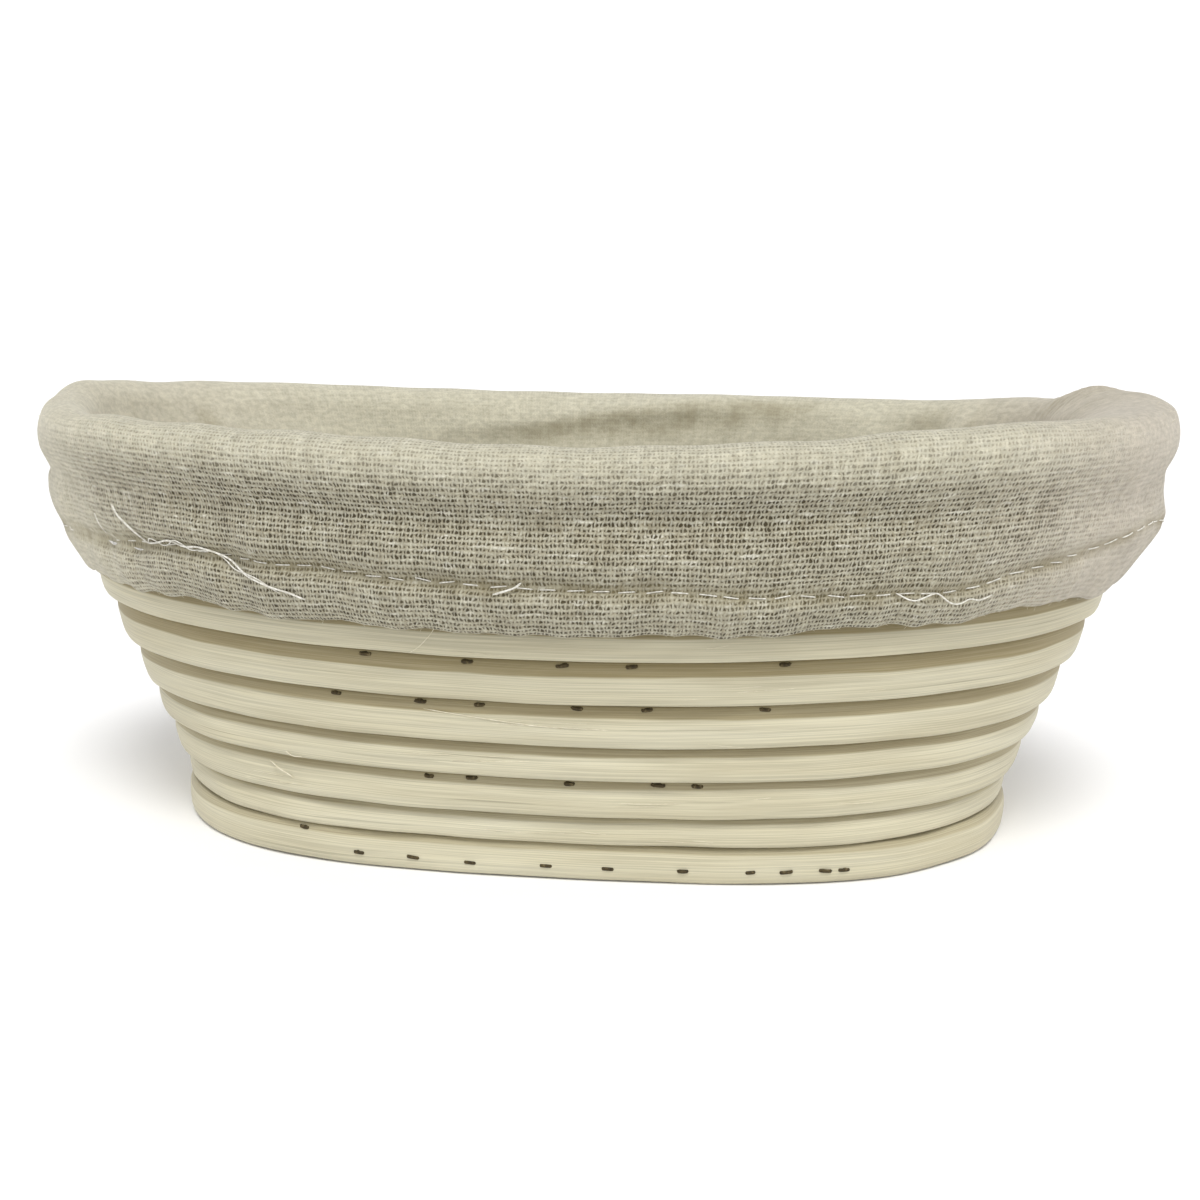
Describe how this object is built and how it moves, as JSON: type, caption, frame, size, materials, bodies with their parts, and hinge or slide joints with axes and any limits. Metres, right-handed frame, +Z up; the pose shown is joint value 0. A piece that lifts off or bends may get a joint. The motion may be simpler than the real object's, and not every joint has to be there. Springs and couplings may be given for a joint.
{
  "type": "banneton basket",
  "caption": "Oval coiled-cane proofing basket with sloping walls and a removable linen liner whose elastic cuff turns down over the rim.",
  "frame": {"origin": "centre of the underside, on the surface that the basket stands on", "axes": "+X along the basket's length, +Y towards the rear side, +Z up out of the basket's mouth"},
  "size_m": [0.2574, 0.1572, 0.0936],
  "materials": {
    "rattan_cane": "natural peeled cane, matte with a faint sheen along the grain",
    "natural_linen": "coarse open plain weave, undyed, matte",
    "cotton_thread": "white sewing thread, matte",
    "elastic_tape": "woven elastic tape, matte",
    "staple_steel": "dull, darkened"
  },
  "bodies": {
    "basket": {"base_spiral": "rattan_cane", "base_ring": "rattan_cane", "wall_turn_01": "rattan_cane", "wall_turn_02": "rattan_cane", "wall_turn_03": "rattan_cane", "wall_turn_04": "rattan_cane", "wall_turn_05": "rattan_cane", "wall_turn_06": "rattan_cane", "wall_turn_07": "rattan_cane", "wall_turn_08": "rattan_cane", "wall_turn_09": "rattan_cane", "wall_turn_10": "rattan_cane", "ring_staple_01": "staple_steel", "ring_staple_02": "staple_steel", "ring_staple_03": "staple_steel", "ring_staple_04": "staple_steel", "ring_staple_05": "staple_steel", "ring_staple_06": "staple_steel", "ring_staple_07": "staple_steel", "ring_staple_08": "staple_steel", "ring_staple_09": "staple_steel", "ring_staple_10": "staple_steel", "turn_00_staple_1": "staple_steel", "turn_02_staple_1": "staple_steel", "turn_02_staple_2": "staple_steel", "turn_02_staple_3": "staple_steel", "turn_02_staple_4": "staple_steel", "turn_02_staple_5": "staple_steel", "turn_04_staple_1": "staple_steel", "turn_04_staple_2": "staple_steel", "turn_04_staple_3": "staple_steel", "turn_04_staple_4": "staple_steel", "turn_04_staple_5": "staple_steel", "turn_04_staple_6": "staple_steel", "turn_05_staple_1": "staple_steel", "turn_05_staple_2": "staple_steel", "turn_05_staple_3": "staple_steel", "turn_05_staple_4": "staple_steel", "turn_05_staple_5": "staple_steel"},
    "liner": {"liner_side_band": "natural_linen", "liner_base_panel": "natural_linen", "liner_cuff": "natural_linen", "cuff_elastic": "elastic_tape", "hem_thread": "cotton_thread", "base_seam_thread": "cotton_thread", "side_seam_thread": "cotton_thread"}
  },
  "joints": [
    {"name": "liner_lift", "type": "slide", "parent": "basket", "child": "liner", "axis": [0, 0, 1], "range_m": [0, 0.1], "deforming": ["liner_cuff", "cuff_elastic", "hem_thread"]}
  ]
}
